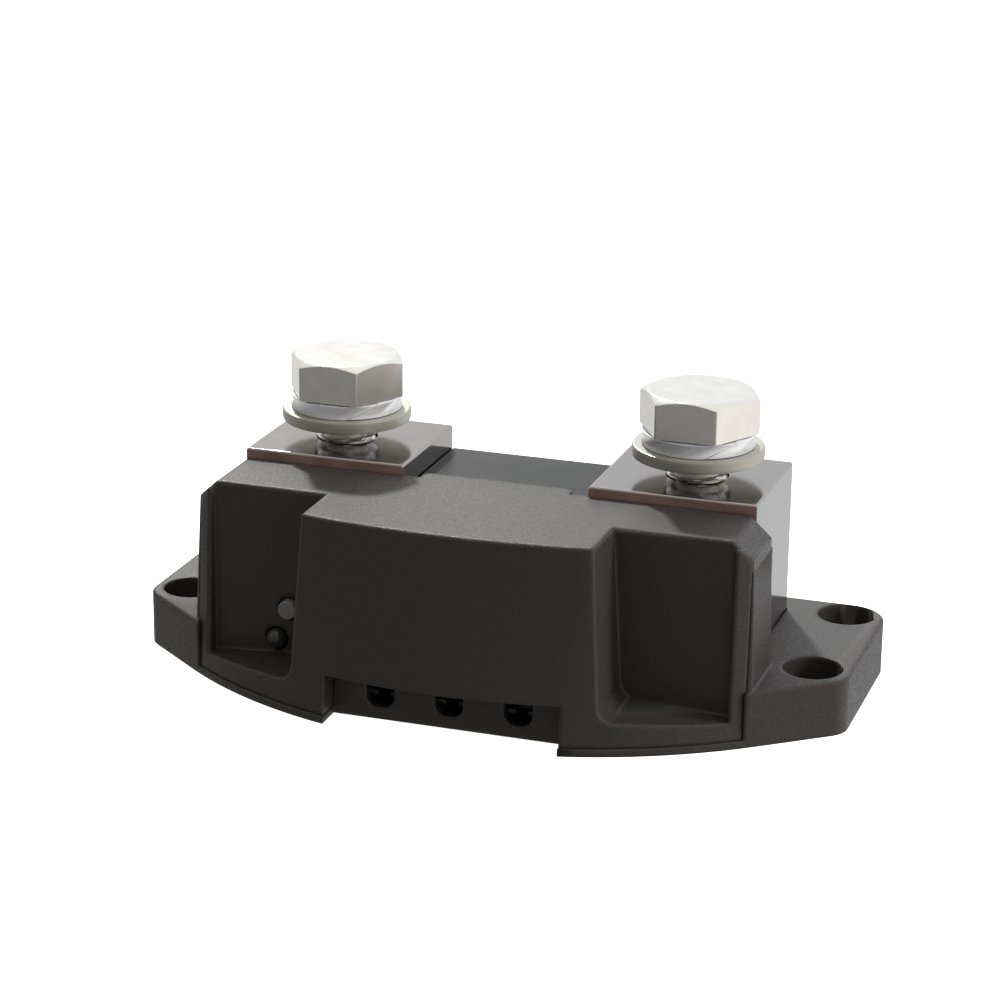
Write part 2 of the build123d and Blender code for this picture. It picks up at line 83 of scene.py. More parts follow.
def plain_mesh(piece):
    """Mesh of the piece with its modifiers worked in."""
    graph = bpy.context.evaluated_depsgraph_get()
    return bpy.data.meshes.new_from_object(piece.evaluated_get(graph), depsgraph=graph)


def smooth_faces(mesh):
    """Shades gentle turns smoothly and keeps real corners sharp."""
    mesh.shade_smooth()
    mesh.set_sharp_from_angle(angle=SMOOTH_ANGLE)


def joined_copy(node, name):
    """Copy of a node's shape with its loose triangles joined up into whole flats."""
    shape = bmesh.new()
    shape.from_mesh(frame["nodes"][node].data)
    bmesh.ops.remove_doubles(shape, verts=shape.verts, dist=0.001 * MM)
    bmesh.ops.dissolve_limit(shape, angle_limit=FLAT_ANGLE, verts=shape.verts, edges=shape.edges)
    mesh = bpy.data.meshes.new(name)
    shape.to_mesh(mesh)
    shape.free()
    return mesh


def keep_flats_flat(piece):
    """Weights the shading by face size, so that a rounding doesn't bend the light on a flat."""
    weighting = piece.modifiers.new("keep_flats_flat", "WEIGHTED_NORMAL")
    weighting.keep_sharp = True
    weighting.weight = 100


def moulded_piece(node, name):
    """Moulded shell as modelled, with smooth roundings and flat flats."""
    mesh = joined_copy(node, name)
    smooth_faces(mesh)
    mesh.materials.clear()
    piece = add_piece(name, mesh)
    keep_flats_flat(piece)
    return piece


def new_finish(name, colour, roughness, metallic=0.0, specular=0.5):
    """Material with its shader ready and everything uniform set on the shader itself."""
    material = bpy.data.materials.new(name)
    material.use_nodes = True
    shader = material.node_tree.nodes["Principled BSDF"]
    shader.inputs["Base Color"].default_value = (*colour, 1)
    shader.inputs["Roughness"].default_value = roughness
    shader.inputs["Metallic"].default_value = metallic
    shader.inputs["Specular IOR Level"].default_value = specular
    return material


def noise_on(material, size, detail=2.0, stretch=(1, 1, 1)):
    """Noise in the piece's own space; size is the width of one speck."""
    nodes, links = material.node_tree.nodes, material.node_tree.links
    place = nodes.new("ShaderNodeTexCoord")
    mapping = nodes.new("ShaderNodeMapping")
    mapping.inputs["Scale"].default_value = stretch
    noise = nodes.new("ShaderNodeTexNoise")
    noise.inputs["Scale"].default_value = 1 / size
    noise.inputs["Detail"].default_value = detail
    links.new(place.outputs["Object"], mapping.inputs["Vector"])
    links.new(mapping.outputs["Vector"], noise.inputs["Vector"])
    return noise.outputs["Fac"]


def between(material, value, low, high, out_low, out_high):
    """Maps a changing value from one span to another."""
    span = material.node_tree.nodes.new("ShaderNodeMapRange")
    span.inputs["From Min"].default_value = low
    span.inputs["From Max"].default_value = high
    span.inputs["To Min"].default_value = out_low
    span.inputs["To Max"].default_value = out_high
    material.node_tree.links.new(value, span.inputs["Value"])
    return span.outputs["Result"]


def blend_colour(material, value, colour_a, colour_b):
    """Colour that goes from a to b, either of them fixed or from another node."""
    links = material.node_tree.links
    mix = material.node_tree.nodes.new("ShaderNodeMix")
    mix.data_type = "RGBA"
    links.new(value, mix.inputs["Factor"])
    for socket, colour in ((mix.inputs[6], colour_a), (mix.inputs[7], colour_b)):
        if isinstance(colour, tuple):
            socket.default_value = (*colour, 1)
        else:
            links.new(colour, socket)
    return mix.outputs[2]


def painted_edge_highlight(material, radius, low, high):
    """Mask for a painted highlight, one along outer and inner corners, nothing on the flats."""
    nodes, links = material.node_tree.nodes, material.node_tree.links
    rounded = nodes.new("ShaderNodeBevel")
    rounded.samples = 4
    rounded.inputs["Radius"].default_value = radius
    surface = nodes.new("ShaderNodeNewGeometry")
    turn = nodes.new("ShaderNodeVectorMath")
    turn.operation = "DOT_PRODUCT"
    links.new(rounded.outputs["Normal"], turn.inputs[0])
    links.new(surface.outputs["Normal"], turn.inputs[1])
    return between(material, turn.outputs["Value"], high, low, 0.0, 1.0)


def bump_with(material, value, height, strength=1.0, edge_radius=0.0):
    """Raises the surface with a value, up to a height in metres, and can soften its edges."""
    nodes, links = material.node_tree.nodes, material.node_tree.links
    bump = nodes.new("ShaderNodeBump")
    bump.inputs["Distance"].default_value = height
    bump.inputs["Strength"].default_value = strength
    links.new(value, bump.inputs["Height"])
    if edge_radius:
        softened = nodes.new("ShaderNodeBevel")
        softened.samples = 6
        softened.inputs["Radius"].default_value = edge_radius
        links.new(softened.outputs["Normal"], bump.inputs["Normal"])
    return bump.outputs["Normal"]


def wire(material, value, socket):
    """Feeds a value into the shader."""
    shader = material.node_tree.nodes["Principled BSDF"]
    material.node_tree.links.new(value, shader.inputs[socket])


def gritty_plastic(name, colour, roughness):
    """Spark-eroded moulded plastic: fine grit that glints, soft edges and a painted pale highlight on the
    corners.
    """
    material = new_finish(name, colour, roughness)
    pale = tuple(1.25 * c for c in colour)
    dark = tuple(0.88 * c for c in colour)
    # colour of the painted highlight on the corners, three times the plastic's own colour
    highlight_colour = tuple(3.0 * c for c in colour)
    specks = noise_on(material, NYLON_GRIT, detail=3.0)
    body = blend_colour(material, between(material, specks, 0.42, 0.66, 0, 1), dark, pale)
    # painted pale highlight along every corner, mixed into the base colour
    edge_highlight = painted_edge_highlight(material, HIGHLIGHT_EDGE_WIDTH, 0.90, 0.995)
    highlight_share = between(material, edge_highlight, 0.0, 1.0, 0.0, 0.55)
    wire(material, blend_colour(material, highlight_share, body, highlight_colour), "Base Color")
    glint = between(material, specks, 0.40, 0.64, roughness + 0.10, roughness - 0.13)
    wire(material, glint, "Roughness")
    wire(material, bump_with(material, specks, 0.03 * MM, 0.7, SOFT_EDGE), "Normal")
    return material


base = moulded_piece("base_housing", "base_moulding")
base.data.materials.append(gritty_plastic("black_gritty_nylon", NYLON_BLACK, 0.50))
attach(base, "housing")
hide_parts("base_housing")

# ---------------------------------------------------------------------------------------------
# Front cover. A second black moulding, bowed at the front, with a raised middle block between
# two open pockets, two chamfered shoulders, and a notch over the cable slots. It is set over
# the front of the base and held by four screws from below.
# ---------------------------------------------------------------------------------------------
COVER_BLACK = (0.0315, 0.0288, 0.0296)

cover = moulded_piece("front_cover", "front_cover_moulding")
cover.data.materials.append(gritty_plastic("black_gritty_cover", COVER_BLACK, 0.48))
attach(cover, "housing")
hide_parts("front_cover")

# ---------------------------------------------------------------------------------------------
# Bridge lid. A smooth dark cap that snaps down between the two blocks over the resistor strips.
# Its mould was polished, so it is glossier than the housing and mirrors the blocks beside it.
# ---------------------------------------------------------------------------------------------
LID_DARK = (0.014, 0.0142, 0.015)
CORNER_ANGLE = math.radians(40)


def edge_rounded(node, name, radius, steps=2):
    """Copy of a node with its flats joined up and every sharp corner rounded."""
    mesh = joined_copy(node, name)
    mesh.materials.clear()
    piece = add_piece(name, mesh)
    rounding = piece.modifiers.new("rounding", "BEVEL")
    rounding.width = radius
    rounding.segments = steps
    rounding.limit_method = "ANGLE"
    rounding.angle_limit = CORNER_ANGLE
    rounding.use_clamp_overlap = True
    rounded = plain_mesh(piece)
    smooth_faces(rounded)
    piece.modifiers.clear()
    piece.data = rounded
    keep_flats_flat(piece)
    return piece


def smooth_plastic(name, colour, roughness, specular=0.5):
    """Polished moulded plastic: faint orange peel, cloudy gloss and a painted pale highlight on the
    corners.
    """
    material = new_finish(name, colour, roughness, specular=specular)
    clouds = noise_on(material, 6 * MM, detail=4.0)
    peel = noise_on(material, 1.4 * MM, detail=2.0)
    # painted pale highlight along the corners
    edge_highlight = between(material, painted_edge_highlight(material, 0.25 * MM, 0.9, 0.995), 0, 1, 0, 0.5)
    dark = tuple(0.8 * c for c in colour)
    pale = tuple(1.3 * c for c in colour)
    highlight_colour = tuple(3.0 * c for c in colour)
    tone = blend_colour(material, clouds, dark, pale)
    wire(material, blend_colour(material, edge_highlight, tone, highlight_colour), "Base Color")
    wire(material, between(material, clouds, 0.3, 0.7, roughness - 0.04, roughness + 0.06), "Roughness")
    wire(material, bump_with(material, peel, 0.01 * MM, 0.3), "Normal")
    return material


lid = edge_rounded("bridge_lid", "bridge_lid_cap", 0.25 * MM)
lid.data.materials.append(smooth_plastic("smooth_dark_lid", LID_DARK, 0.30, specular=0.2))
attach(lid, "housing")
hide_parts("bridge_lid")

# ---------------------------------------------------------------------------------------------
# Terminal blocks. Two copper blocks sawn from one extruded bar: the bar was nickel-tin plated
# before it was cut, so five faces are satin grey and the sawn front face is bare brown copper
# with fine saw lines. Each has a tapped hole for its bolt and slots for the resistor strips.
# ---------------------------------------------------------------------------------------------
PLATING = (0.368, 0.349, 0.338)
# cream colour of the painted highlight along the plated corners
PLATING_HIGHLIGHT = (0.86, 0.80, 0.68)
DARK_COPPER = (0.27, 0.165, 0.135)
PALE_COPPER = (0.42, 0.27, 0.225)
SAWN_TOLERANCE = 0.06 * MM


def plated_finish():
    """Satin nickel-tin plating with faint rolling lines and a painted cream highlight on the corners."""
    material = new_finish("satin_plating", PLATING, 0.3, metallic=1.0)
    clouds = noise_on(material, 5 * MM, detail=5.0)
    lines = noise_on(material, 0.5 * MM, detail=3.0, stretch=(0.05, 1, 1))
    # painted cream highlight along the corners
    edge_highlight = painted_edge_highlight(material, 0.3 * MM, 0.9, 0.995)
    dark = tuple(0.9 * c for c in PLATING)
    pale = tuple(1.1 * c for c in PLATING)
    tone = blend_colour(material, clouds, dark, pale)
    wire(material, blend_colour(material, edge_highlight, tone, PLATING_HIGHLIGHT), "Base Color")
    wire(material, between(material, clouds, 0.3, 0.7, 0.11, 0.15), "Roughness")
    wire(material, bump_with(material, lines, 0.003 * MM, 0.25), "Normal")
    return material


def sawn_copper_finish():
    """Bare oxidised copper with upright saw lines."""
    material = new_finish("sawn_bare_copper", DARK_COPPER, 0.55, metallic=0.3)
    lines = noise_on(material, 0.25 * MM, detail=3.0, stretch=(1, 1, 0.06))
    stain = noise_on(material, 4 * MM, detail=5.0)
    patches = between(material, stain, 0.3, 0.7, 0, 1)
    wire(material, blend_colour(material, patches, DARK_COPPER, PALE_COPPER), "Base Color")
    wire(material, between(material, lines, 0.3, 0.7, 0.45, 0.65), "Roughness")
    wire(material, bump_with(material, lines, 0.02 * MM, 0.6), "Normal")
    return material


plating = plated_finish()
sawn_copper = sawn_copper_finish()
for side in ("left", "right"):
    node = "terminal_" + side
    block = edge_rounded(node, "terminal_block_" + side, 0.22 * MM, steps=3)
    block.data.materials.append(plating)
    block.data.materials.append(sawn_copper)
    sawn_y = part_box(node)[0].y
    for face in block.data.polygons:
        on_sawn_face = face.center.y < sawn_y + SAWN_TOLERANCE and face.normal.y < -0.9
        face.material_index = 1 if on_sawn_face else 0
    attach(block, "housing")
    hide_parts(node)

# ---------------------------------------------------------------------------------------------
# Terminal bolts. M10 hexagon bolts of zinc-plated steel, threaded all the way: the head is
# forged and chamfered at 30 degrees, which leaves an arc on each flat, and the thread is rolled.
# ---------------------------------------------------------------------------------------------
BOLT_FLATS = 17.0 * MM
BOLT_HEAD = 6.4 * MM
BOLT_PITCH = 1.5 * MM
THREAD_CREST = 4.92 * MM
THREAD_ROOT = 4.12 * MM
THREAD_END = 3.6 * MM
WASHER_FACE = 8.1 * MM
CHAMFER_CIRCLE = 8.42 * MM
CHAMFER_SLOPE = 0.56
THREAD_STEPS = 8
FACET_STEPS = (-29.4, -28.2, -20, -10, 0, 10, 20, 28.2, 29.4)
BOLT_ANGLES = [math.radians(60 * facet + 30 + step) for facet in range(6) for step in FACET_STEPS]
BRIGHT_ZINC = (0.86, 0.853, 0.832)


def shell_from_rings(name, rings, closed_ends=True):
    """Skin over a stack of rings that all have the same number of points."""
    shape = bmesh.new()
    rows = [[shape.verts.new(point) for point in ring] for ring in rings]
    count = len(rows[0])
    for low, high in zip(rows, rows[1:]):
        for i in range(count):
            j = (i + 1) % count
            shape.faces.new((low[i], low[j], high[j], high[i]))
    if closed_ends:
        for row in (rows[0], rows[-1]):
            middle = shape.verts.new(sum((v.co for v in row), Vector()) / count)
            for i in range(count):
                shape.faces.new((row[i], row[(i + 1) % count], middle))
    bmesh.ops.recalc_face_normals(shape, faces=shape.faces)
    mesh = bpy.data.meshes.new(name)
    shape.to_mesh(mesh)
    shape.free()
    smooth_faces(mesh)
    return mesh


def hex_reach(angle):
    """Distance from the axis to the hexagon's side in this direction."""
    facet_turn = (angle - math.radians(30)) % math.radians(60)
    facet_turn = min(facet_turn, math.radians(60) - facet_turn)
    return BOLT_FLATS / 2 / math.cos(facet_turn)


def round_ring(radius, height):
    """Circle of points at a height."""
    return [Vector((radius * math.cos(a), radius * math.sin(a), height)) for a in BOLT_ANGLES]


def hex_ring(inset, drop):
    """Hexagon of points just under the head's chamfer, inset and dropped by small amounts."""
    ring = []
    for angle in BOLT_ANGLES:
        reach = hex_reach(angle)
        top = BOLT_HEAD - max(0.0, reach - CHAMFER_CIRCLE) * CHAMFER_SLOPE
        reach -= inset
        ring.append(Vector((reach * math.cos(angle), reach * math.sin(angle), top - drop)))
    return ring


def hex_foot(inset, height):
    """Hexagon of points near the head's underside."""
    reach = [hex_reach(angle) - inset for angle in BOLT_ANGLES]
    return [Vector((r * math.cos(a), r * math.sin(a), height)) for r, a in zip(reach, BOLT_ANGLES)]


def thread_ring(height, crest):
    """Points round the thread at a height; its ridge climbs a pitch a turn, flat at top and root."""
    ring = []
    for angle in BOLT_ANGLES:
        phase = (height / BOLT_PITCH - angle / (2 * math.pi)) % 1.0
        ridge = 1 - abs(2 * phase - 1)
        ridge = min(1.0, max(0.0, 1.25 * ridge - 0.1))
        radius = min(crest, THREAD_ROOT + (THREAD_CREST - THREAD_ROOT) * ridge)
        ring.append(Vector((radius * math.cos(angle), radius * math.sin(angle), height)))
    return ring


def bolt_mesh(name, length):
    """Whole bolt, head up, with the underside of its head at zero."""
    rings = [round_ring(THREAD_END, -length)]
    turns = int(length / BOLT_PITCH * THREAD_STEPS)
    for step in range(turns + 1):
        height = -length + step * length / turns
        lead_in = 4.0 * MM + 1.2 * (height + length)
        rings.append(thread_ring(height, lead_in))
    # underside: the fillet under the head, then the round washer face
    rings.append(round_ring(5.4 * MM, 0))
    rings.append(round_ring(WASHER_FACE, 0))
    rings.append(round_ring(WASHER_FACE + 0.05 * MM, 0.05 * MM))
    # hexagon: a rounded foot, six flats, and a rounded arc at the top of each
    rings.append(hex_foot(0.08 * MM, 0.07 * MM))
    rings.append(hex_foot(0, 0.16 * MM))
    rings.append(hex_ring(0, 0.12 * MM))
    rings.append(hex_ring(0.09 * MM, 0.01 * MM))
    # top: the chamfer runs into the round flat
    rings.append(round_ring(CHAMFER_CIRCLE - 0.12 * MM, BOLT_HEAD - 0.02 * MM))
    rings.append(round_ring(CHAMFER_CIRCLE - 0.35 * MM, BOLT_HEAD))
    rings.append(round_ring(3.0 * MM, BOLT_HEAD))
    return shell_from_rings(name, rings)


def bright_plating(name, colour, roughness, cloud=0.05, metallic=1.0):
    """Bright electroplating: a near mirror, a little cloudy, with a fine grain."""
    material = new_finish(name, colour, roughness, metallic=metallic)
    clouds = noise_on(material, 3 * MM, detail=5.0)
    fine = noise_on(material, 0.3 * MM, detail=3.0)
    dull = tuple(0.92 * c for c in colour)
    patches = between(material, clouds, 0.3, 0.7, 0, 1)
    wire(material, blend_colour(material, patches, dull, colour), "Base Color")
    wire(material, between(material, clouds, 0.3, 0.7, roughness - cloud, roughness + cloud), "Roughness")
    wire(material, bump_with(material, fine, 0.0015 * MM, 0.3), "Normal")
    return material


bright_zinc = bright_plating("bright_zinc_plating", BRIGHT_ZINC, 0.20, cloud=0.02, metallic=0.78)
for side in ("left", "right"):
    node = "bolt_" + side
    low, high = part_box(node)
    head_low = high.z - BOLT_HEAD
    mesh = bolt_mesh("hex_bolt_" + side, head_low - low.z)
    axis = Vector(((low.x + high.x) / 2, (low.y + high.y) / 2, head_low))
    for vertex in mesh.vertices:
        vertex.co += axis
    bolt = add_piece("hex_bolt_" + side, mesh)
    bolt.data.materials.append(bright_zinc)
    keep_flats_flat(bolt)
    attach(bolt, "bolt_" + side)
    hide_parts(node)

# ---------------------------------------------------------------------------------------------
# Spring washers. Coiled from square zinc-plated spring wire and cut on a slant, so the two ends
# stand a little apart at the front and the ring keeps the bolt tight.
# ---------------------------------------------------------------------------------------------
SPRING_INNER = 5.15 * MM
SPRING_CORNER = 0.22 * MM
SPRING_RISE = 0.06 * MM
SPRING_CUT_ANGLE = math.radians(-53)
SPRING_GAP = math.radians(1.6)
SPRING_SLANT = 2.5
SPRING_STATIONS = 120
ZINC_BLUE = (0.92, 0.94, 1.0)


def rounded_section(inner, outer, low, high, corner):
    """Corners of a ring's section, each rounded with three points."""
    section = []
    middles = (
        (outer - corner, low + corner, -90), (outer - corner, high - corner, 0),
        (inner + corner, high - corner, 90), (inner + corner, low + corner, 180),
    )
    for radius, height, start in middles:
        for turn in (0, 45, 90):
            a = math.radians(start + turn)
            section.append((radius + corner * math.cos(a), height + corner * math.sin(a)))
    return section


def spring_ring(name, outer, thickness):
    """Split ring: it climbs a little in its one turn, and its cut leans."""
    wire_height = thickness - SPRING_RISE
    section = rounded_section(SPRING_INNER, outer, 0, wire_height, SPRING_CORNER)
    stations = []
    for i in range(SPRING_STATIONS + 1):
        part = i / SPRING_STATIONS
        points = []
        for radius, height in section:
            lean = SPRING_SLANT * (height - wire_height / 2) / outer
            angle = SPRING_CUT_ANGLE + SPRING_GAP / 2 + lean + part * (2 * math.pi - SPRING_GAP)
            climb = SPRING_RISE * (1 - part)
            points.append(Vector((radius * math.cos(angle), radius * math.sin(angle), height + climb)))
        stations.append(points)
    return shell_from_rings(name, stations)


spring_zinc = bright_plating("blue_bright_zinc", ZINC_BLUE, 0.26, metallic=0.6)
for side in ("left", "right"):
    node = "spring_washer_" + side
    low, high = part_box(node)
    mesh = spring_ring("split_spring_" + side, (high.x - low.x) / 2, high.z - low.z)
    for vertex in mesh.vertices:
        vertex.co += Vector(((low.x + high.x) / 2, (low.y + high.y) / 2, low.z))
    washer = add_piece("split_spring_" + side, mesh)
    washer.data.materials.append(spring_zinc)
    keep_flats_flat(washer)
    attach(washer, "washers_" + side)
    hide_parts(node)

# ---------------------------------------------------------------------------------------------
# Flat washers. Punched from steel strip and tumbled, so every rim is rounded, then given a dull
# greenish grey zinc that mirrors the block below it only faintly.
# ---------------------------------------------------------------------------------------------
WASHER_BORE = 5.25 * MM
WASHER_SECTION_ROUND = 0.35 * MM
WASHER_STATIONS = 96
DULL_ZINC = (0.46, 0.455, 0.405)


def punched_ring(name, outer, thickness):
    """Closed ring with rounded rims, turned round the axis."""
    section = rounded_section(WASHER_BORE, outer, 0, thickness, WASHER_SECTION_ROUND)
    turns = [2 * math.pi * i / WASHER_STATIONS for i in range(WASHER_STATIONS)]
    rings = []
    for radius, height in section + section[:1]:
        rings.append([Vector((radius * math.cos(a), radius * math.sin(a), height)) for a in turns])
    mesh = shell_from_rings(name, rings, closed_ends=False)
    shape = bmesh.new()
    shape.from_mesh(mesh)
    bmesh.ops.remove_doubles(shape, verts=shape.verts, dist=0.001 * MM)
    bmesh.ops.recalc_face_normals(shape, faces=shape.faces)
    shape.to_mesh(mesh)
    shape.free()
    smooth_faces(mesh)
    return mesh


dull_zinc = bright_plating("dull_washer_zinc", DULL_ZINC, 0.42, cloud=0.06, metallic=0.65)
for side in ("left", "right"):
    node = "flat_washer_" + side
    low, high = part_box(node)
    mesh = punched_ring("punched_washer_" + side, (high.x - low.x) / 2, high.z - low.z)
    for vertex in mesh.vertices:
        vertex.co += Vector(((low.x + high.x) / 2, (low.y + high.y) / 2, low.z))
    washer = add_piece("punched_washer_" + side, mesh)
    washer.data.materials.append(dull_zinc)
    keep_flats_flat(washer)
    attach(washer, "washers_" + side)
    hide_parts(node)

# ---------------------------------------------------------------------------------------------
# Push button. A grey moulded plunger behind the left pocket's wall; its collar stops it from
# falling out, and its end has a rounded rim.
# ---------------------------------------------------------------------------------------------
BUTTON_GREY = (0.20, 0.20, 0.202)

button = edge_rounded("push_button", "push_button_plunger", 0.3 * MM, steps=3)
button.data.materials.append(smooth_plastic("grey_button_plastic", BUTTON_GREY, 0.42))
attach(button, "button")
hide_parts("push_button")

# ---------------------------------------------------------------------------------------------
# Status lamp. A 3 mm lamp cast in smoked epoxy, domed and glossy, with a flange behind the
# wall; the darker core inside it is the cup that holds the light source.
# ---------------------------------------------------------------------------------------------
LAMP_SMOKE = (0.045, 0.045, 0.047)
LAMP_DARK = (0.025, 0.025, 0.027)
LAMP_PALE = (0.065, 0.065, 0.067)

lamp_epoxy = new_finish("smoked_lamp_epoxy", LAMP_SMOKE, 0.16, specular=0.6)
cup = noise_on(lamp_epoxy, 1.2 * MM, detail=1.0)
haze = noise_on(lamp_epoxy, 0.6 * MM)
wire(lamp_epoxy, blend_colour(lamp_epoxy, cup, LAMP_DARK, LAMP_PALE), "Base Color")
wire(lamp_epoxy, between(lamp_epoxy, haze, 0.3, 0.7, 0.12, 0.22), "Roughness")
wire(lamp_epoxy, bump_with(lamp_epoxy, cup, 0.01 * MM, 0.2), "Normal")
lamp = moulded_piece("led_lens", "status_lamp_lens")
lamp.data.materials.append(lamp_epoxy)
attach(lamp, "housing")
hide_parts("led_lens")

# ---------------------------------------------------------------------------------------------
# Screws. Slotted pan-head steel screws, turned and zinc plated: four hold the blocks down, four
# hold the cover, and four small brass ones pick up the voltage through the main board.
# ---------------------------------------------------------------------------------------------
SCREW_STEEL = (0.58, 0.58, 0.57)
SCREW_BRASS = (0.72, 0.55, 0.28)
SCREW_SIDES = 32
SCREW_PITCH = 0.7 * MM
BLOCK_SCREW_HEAD = 3.58 * MM
BLOCK_SCREW_STEP = 13.1 * MM
BLOCK_STEP = 61.9 * MM
COVER_SCREW_HEAD = 2.08 * MM
COVER_SCREW_EDGE = 2.1 * MM
COVER_SCREW_INNER_X = 19.8 * MM


def turned_mesh(name, profile):
    """Solid turned from (radius, height) points, from its lowest to its highest."""
    turns = [2 * math.pi * i / SCREW_SIDES for i in range(SCREW_SIDES)]
    rings = []
    for radius, height in profile:
        rings.append([Vector((radius * math.cos(a), radius * math.sin(a), height)) for a in turns])
    return shell_from_rings(name, rings)


def block_mesh(name, low, high):
    """Six-sided cutter from corner to corner."""
    shape = bmesh.new()
    bmesh.ops.create_cube(shape, size=1)
    middle = (Vector(low) + Vector(high)) / 2
    for vertex in shape.verts:
        vertex.co = Vector(a * (h - l) + m for a, h, l, m in zip(vertex.co, high, low, middle))
    mesh = bpy.data.meshes.new(name)
    shape.to_mesh(mesh)
    shape.free()
    return mesh


def slotted_screw(name, head, head_height, shank, length, slot_width, slot_depth):
    """Screw standing on its head: domed rim, slot, ringed shank and a pointed end."""
    rim = 0.25 * head_height
    profile = [
        (0.3 * head, 0), (head - rim, 0), (head - 0.3 * rim, 0.3 * rim), (head, rim),
        (head, head_height - 0.1 * MM), (head - 0.1 * MM, head_height), (shank, head_height),
    ]
    ribs = int((length - head_height - shank) / SCREW_PITCH)
    for i in range(ribs):
        start = head_height + i * SCREW_PITCH
        profile += [(shank * 0.82, start + 0.2 * MM), (shank, start + 0.55 * MM)]
    profile.append((0.35 * shank, length))
    screw = add_piece(name, turned_mesh(name, profile))
    reach = head * 1.1
    slot_low = (-reach, -slot_width / 2, -1 * MM)
    slot_high = (reach, slot_width / 2, slot_depth)
    cutter = add_piece(name + "_slot", block_mesh(name + "_slot", slot_low, slot_high))
    cut = screw.modifiers.new("slot", "BOOLEAN")
    cut.operation = "DIFFERENCE"
    cut.object = cutter
    mesh = plain_mesh(screw)
    smooth_faces(mesh)
    bpy.data.objects.remove(screw)
    bpy.data.objects.remove(cutter)
    return mesh


def rows_tree():
    """Stands copies of one part in rows and makes them real, in one finish."""
    tree = bpy.data.node_groups.new("rows_of_parts", "GeometryNodeTree")
    inputs = (
        ("Part", "NodeSocketObject"), ("Finish", "NodeSocketMaterial"), ("First", "NodeSocketVector"),
        ("Count", "NodeSocketInt"), ("Step", "NodeSocketVector"),
        ("Rows", "NodeSocketInt"), ("Row Step", "NodeSocketVector"),
    )
    for name, kind in inputs:
        tree.interface.new_socket(name, in_out="INPUT", socket_type=kind)
    tree.interface.new_socket("Geometry", in_out="OUTPUT", socket_type="NodeSocketGeometry")
    start = tree.nodes.new("NodeGroupInput")
    part = tree.nodes.new("GeometryNodeObjectInfo")
    lines, stands = [], []
    for _ in range(2):
        line = tree.nodes.new("GeometryNodeMeshLine")
        line.mode = "OFFSET"
        lines.append(line)
        stands.append(tree.nodes.new("GeometryNodeInstanceOnPoints"))
    real = tree.nodes.new("GeometryNodeRealizeInstances")
    finish = tree.nodes.new("GeometryNodeSetMaterial")
    end = tree.nodes.new("NodeGroupOutput")
    join = tree.links.new
    join(start.outputs["Part"], part.inputs["Object"])
    join(start.outputs["Count"], lines[0].inputs["Count"])
    join(start.outputs["First"], lines[0].inputs["Start Location"])
    join(start.outputs["Step"], lines[0].inputs["Offset"])
    join(start.outputs["Rows"], lines[1].inputs["Count"])
    join(start.outputs["Row Step"], lines[1].inputs["Offset"])
    join(lines[0].outputs["Mesh"], stands[0].inputs["Points"])
    join(part.outputs["Geometry"], stands[0].inputs["Instance"])
    join(lines[1].outputs["Mesh"], stands[1].inputs["Points"])
    join(stands[0].outputs["Instances"], stands[1].inputs["Instance"])
    join(stands[1].outputs["Instances"], real.inputs["Geometry"])
    join(real.outputs["Geometry"], finish.inputs["Geometry"])
    join(start.outputs["Finish"], finish.inputs["Material"])
    join(finish.outputs["Geometry"], end.inputs["Geometry"])
    return tree


rows_of_parts = rows_tree()


def stand_in_rows(name, part_mesh, finish, first, count, step, rows=1, row_step=(0, 0, 0)):
    """Runs the rows tree on a part and returns the whole group as one plain mesh."""
    part = add_piece(name + "_part", part_mesh)
    host = add_piece(name, bpy.data.meshes.new(name))
    modifier = host.modifiers.new("rows", "NODES")
    modifier.node_group = rows_of_parts
    values = {
        "Part": part, "Finish": finish, "First": first, "Count": count, "Step": step,
        "Rows": rows, "Row Step": row_step,
    }
    for item in rows_of_parts.interface.items_tree:
        if item.in_out == "INPUT":
            modifier[item.identifier] = values[item.name]
    mesh = plain_mesh(host)
    host.modifiers.clear()
    host.data = mesh
    smooth_faces(mesh)
    bpy.data.objects.remove(part)
    return host


def finish_group(piece, node):
    """A group that stands still in the housing in place of its node."""
    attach(piece, "housing")
    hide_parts(node)


screw_steel = bright_plating("zinc_screw_steel", SCREW_STEEL, 0.34, cloud=0.06)
low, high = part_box("terminal_screws")
block_screw = slotted_screw(
    "terminal_screw", head=BLOCK_SCREW_HEAD, head_height=1.5 * MM, shank=1.96 * MM,
    length=high.z - low.z, slot_width=0.8 * MM, slot_depth=0.75 * MM,
)
first = (low.x + BLOCK_SCREW_HEAD, (low.y + high.y) / 2, low.z)
piece = stand_in_rows(
    "block_screws", block_screw, screw_steel, first,
    count=2, step=(BLOCK_SCREW_STEP, 0, 0), rows=2, row_step=(BLOCK_STEP, 0, 0),
)
finish_group(piece, "terminal_screws")

low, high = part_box("cover_screws")
cover_screw = slotted_screw(
    "cover_screw", head=COVER_SCREW_HEAD, head_height=1.4 * MM, shank=1.01 * MM,
    length=high.z - low.z, slot_width=0.6 * MM, slot_depth=0.58 * MM,
)
outer_x = high.x - COVER_SCREW_EDGE
rear_y = high.y - COVER_SCREW_EDGE
front_y = low.y + COVER_SCREW_EDGE
inner_x = COVER_SCREW_INNER_X
whole = bmesh.new()
for x, y in ((-outer_x, rear_y), (-inner_x, front_y), (inner_x, front_y), (outer_x, rear_y)):
    one = cover_screw.copy()
    for vertex in one.vertices:
        vertex.co += Vector((x, y, low.z))
    whole.from_mesh(one)
mesh = bpy.data.meshes.new("cover_fixing_screws")
whole.to_mesh(mesh)
whole.free()
smooth_faces(mesh)
mesh.materials.append(screw_steel)
finish_group(add_piece("cover_fixing_screws", mesh), "cover_screws")

